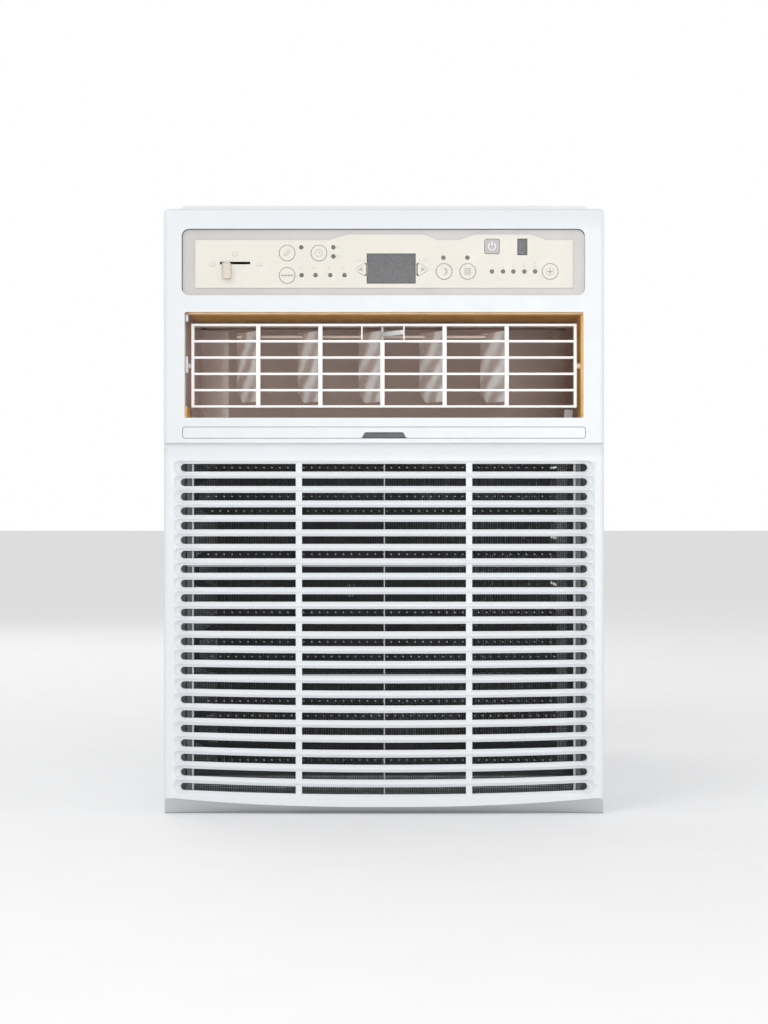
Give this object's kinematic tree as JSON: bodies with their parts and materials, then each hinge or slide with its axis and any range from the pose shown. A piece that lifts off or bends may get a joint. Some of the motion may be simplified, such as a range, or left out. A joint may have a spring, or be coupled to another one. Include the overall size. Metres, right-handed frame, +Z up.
{
  "type": "window air conditioner",
  "caption": "Tall casement window air conditioner: white front with push-button panel, tilting louvers over a slotted intake, steel cabinet with coils, fan and compressor inside.",
  "frame": {"origin": "bottom centre of the whole object", "axes": "+Z up, -Y out of the front panel into the room, +X to the right seen from the front"},
  "size_m": [0.37, 0.61, 0.518],
  "materials": {
    "white_plastic": "satin moulded plastic",
    "cream_plastic": "printed cream overlay",
    "grey_plastic": "fine matt texture",
    "dark_window": "smoked, glossy",
    "lamp_guide": "dark olive lenses",
    "vane_plastic": "translucent, slightly glossy",
    "duct_foam": "amber lining",
    "foam": "beaded foam",
    "filter_mesh": "fine mesh in a moulded frame",
    "cabinet_steel": "powder coat",
    "galvanised": "galvanised sheet",
    "fins": "bare fins",
    "copper": "bare copper tube",
    "black_steel": "black enamel",
    "bright_steel": "bright",
    "fan_plastic": "moulded",
    "rubber": "soft",
    "board": "lacquered board"
  },
  "bodies": {
    "root": {"accumulator": "black_steel", "base_pan": "cabinet_steel", "blower_scroll": "foam", "bulkhead": "galvanised", "cabinet_wrap": "cabinet_steel", "capacitor": "bright_steel", "capillary_tube": "copper", "compressor": "black_steel", "compressor_grommet_1": "rubber", "compressor_grommet_2": "rubber", "compressor_grommet_3": "rubber", "condensate_tray": "foam", "condenser_fins": "fins", "condenser_tube": "copper", "control_bezel": "grey_plastic", "control_board": "board", "control_box": "galvanised", "control_overlay": "cream_plastic", "cord_gland": "rubber", "discharge_duct": "duct_foam", "discharge_line": "copper", "display_window": "dark_window", "evaporator_fins": "fins", "evaporator_tube": "copper", "fan_motor": "black_steel", "fan_shroud": "foam", "intake_grille": "white_plastic", "ir_window": "dark_window", "light_guide_left": "lamp_guide", "light_guide_right": "lamp_guide", "motor_bracket": "galvanised", "rear_guard": "cabinet_steel", "suction_line": "copper", "terminal_cover": "black_steel", "upper_fascia": "white_plastic"},
    "louver_frame": {"louver_frame": "white_plastic"},
    "vane_tie_bar": {"vane_tie_bar": "cream_plastic"},
    "vent_control": {"vent_lever": "cream_plastic", "vent_rod": "bright_steel", "vent_shutter": "galvanised"},
    "filter_handle": {"filter_handle": "white_plastic"},
    "filter_screen": {"filter_screen": "filter_mesh"},
    "rotor": {"motor_shaft": "bright_steel", "blower_wheel": "fan_plastic", "condenser_fan": "fan_plastic"},
    "vane_1": {"vane_1": "vane_plastic"},
    "vane_2": {"vane_2": "vane_plastic"},
    "vane_3": {"vane_3": "vane_plastic", "vane_handle": "white_plastic"},
    "vane_4": {"vane_4": "vane_plastic"},
    "vane_5": {"vane_5": "vane_plastic"},
    "eco_button": {"eco_button": "cream_plastic"},
    "timer_button": {"timer_button": "cream_plastic"},
    "mode_button": {"mode_button": "cream_plastic"},
    "sleep_button": {"sleep_button": "cream_plastic"},
    "filter_button": {"filter_button": "cream_plastic"},
    "fan_button": {"fan_button": "cream_plastic"},
    "power_button": {"power_button": "cream_plastic"},
    "temperature_down_button": {"temperature_down_button": "cream_plastic"},
    "temperature_up_button": {"temperature_up_button": "cream_plastic"}
  },
  "joints": [
    {"name": "louver_tilt", "type": "hinge", "parent": "root", "child": "louver_frame", "pos_m": [0, -0.282, 0.37765], "axis": [1, 0, 0], "range_deg": [-20, 20]},
    {"name": "vane_3_turn", "type": "hinge", "parent": "louver_frame", "child": "vane_3", "pos_m": [-0.0013, -0.274, 0.37765], "axis": [0, 0, 1], "range_deg": [-66, 3]},
    {"name": "vane_1_turn", "type": "hinge", "parent": "louver_frame", "child": "vane_1", "pos_m": [-0.1063, -0.274, 0.37765], "axis": [0, 0, 1], "range_deg": [-66, 3]},
    {"name": "vane_2_turn", "type": "hinge", "parent": "louver_frame", "child": "vane_2", "pos_m": [-0.0538, -0.274, 0.37765], "axis": [0, 0, 1], "range_deg": [-66, 3]},
    {"name": "vane_4_turn", "type": "hinge", "parent": "louver_frame", "child": "vane_4", "pos_m": [0.0512, -0.274, 0.37765], "axis": [0, 0, 1], "range_deg": [-66, 3]},
    {"name": "vane_5_turn", "type": "hinge", "parent": "louver_frame", "child": "vane_5", "pos_m": [0.1037, -0.274, 0.37765], "axis": [0, 0, 1], "range_deg": [-66, 3]},
    {"name": "tie_bar_turn", "type": "hinge", "parent": "vane_3", "child": "vane_tie_bar", "pos_m": [-0.01879, -0.24601, 0.4048], "axis": [0, 0, 1], "range_deg": [-3, 66]},
    {"name": "vent_slide", "type": "slide", "parent": "root", "child": "vent_control", "axis": [1, 0, 0], "range_m": [-0.0015, 0.0165]},
    {"name": "filter_pull", "type": "slide", "parent": "root", "child": "filter_handle", "axis": [0, -1, 0], "range_m": [0, 0.012]},
    {"name": "filter_lift", "type": "slide", "parent": "root", "child": "filter_screen", "axis": [0, 0, 1], "range_m": [0, 0.012]},
    {"name": "fan_spin", "type": "hinge", "parent": "root", "child": "rotor", "pos_m": [-0.03, 0, 0.185], "axis": [0, 1, 0], "continuous": true},
    {"name": "eco_press", "type": "slide", "parent": "root", "child": "eco_button", "axis": [0, 1, 0], "range_m": [0, 0.0008], "stiffness_N_per_m": 800, "springref_m": -0.0006},
    {"name": "timer_press", "type": "slide", "parent": "root", "child": "timer_button", "axis": [0, 1, 0], "range_m": [0, 0.0008], "stiffness_N_per_m": 800, "springref_m": -0.0006},
    {"name": "mode_press", "type": "slide", "parent": "root", "child": "mode_button", "axis": [0, 1, 0], "range_m": [0, 0.0008], "stiffness_N_per_m": 800, "springref_m": -0.0006},
    {"name": "sleep_press", "type": "slide", "parent": "root", "child": "sleep_button", "axis": [0, 1, 0], "range_m": [0, 0.0008], "stiffness_N_per_m": 800, "springref_m": -0.0006},
    {"name": "filter_press", "type": "slide", "parent": "root", "child": "filter_button", "axis": [0, 1, 0], "range_m": [0, 0.0008], "stiffness_N_per_m": 800, "springref_m": -0.0006},
    {"name": "fan_press", "type": "slide", "parent": "root", "child": "fan_button", "axis": [0, 1, 0], "range_m": [0, 0.0008], "stiffness_N_per_m": 800, "springref_m": -0.0006},
    {"name": "power_press", "type": "slide", "parent": "root", "child": "power_button", "axis": [0, 1, 0], "range_m": [0, 0.0008], "stiffness_N_per_m": 800, "springref_m": -0.0006},
    {"name": "temperature_down_press", "type": "slide", "parent": "root", "child": "temperature_down_button", "axis": [0, 1, 0], "range_m": [0, 0.0008], "stiffness_N_per_m": 800, "springref_m": -0.0006},
    {"name": "temperature_up_press", "type": "slide", "parent": "root", "child": "temperature_up_button", "axis": [0, 1, 0], "range_m": [0, 0.0008], "stiffness_N_per_m": 800, "springref_m": -0.0006}
  ],
  "couplings": [
    {"joint": "vane_1_turn", "follows": "vane_3_turn", "ratio": 1},
    {"joint": "vane_2_turn", "follows": "vane_3_turn", "ratio": 1},
    {"joint": "vane_4_turn", "follows": "vane_3_turn", "ratio": 1},
    {"joint": "vane_5_turn", "follows": "vane_3_turn", "ratio": 1},
    {"joint": "tie_bar_turn", "follows": "vane_3_turn", "ratio": -1},
    {"joint": "filter_lift", "follows": "filter_pull", "ratio": 1}
  ]
}
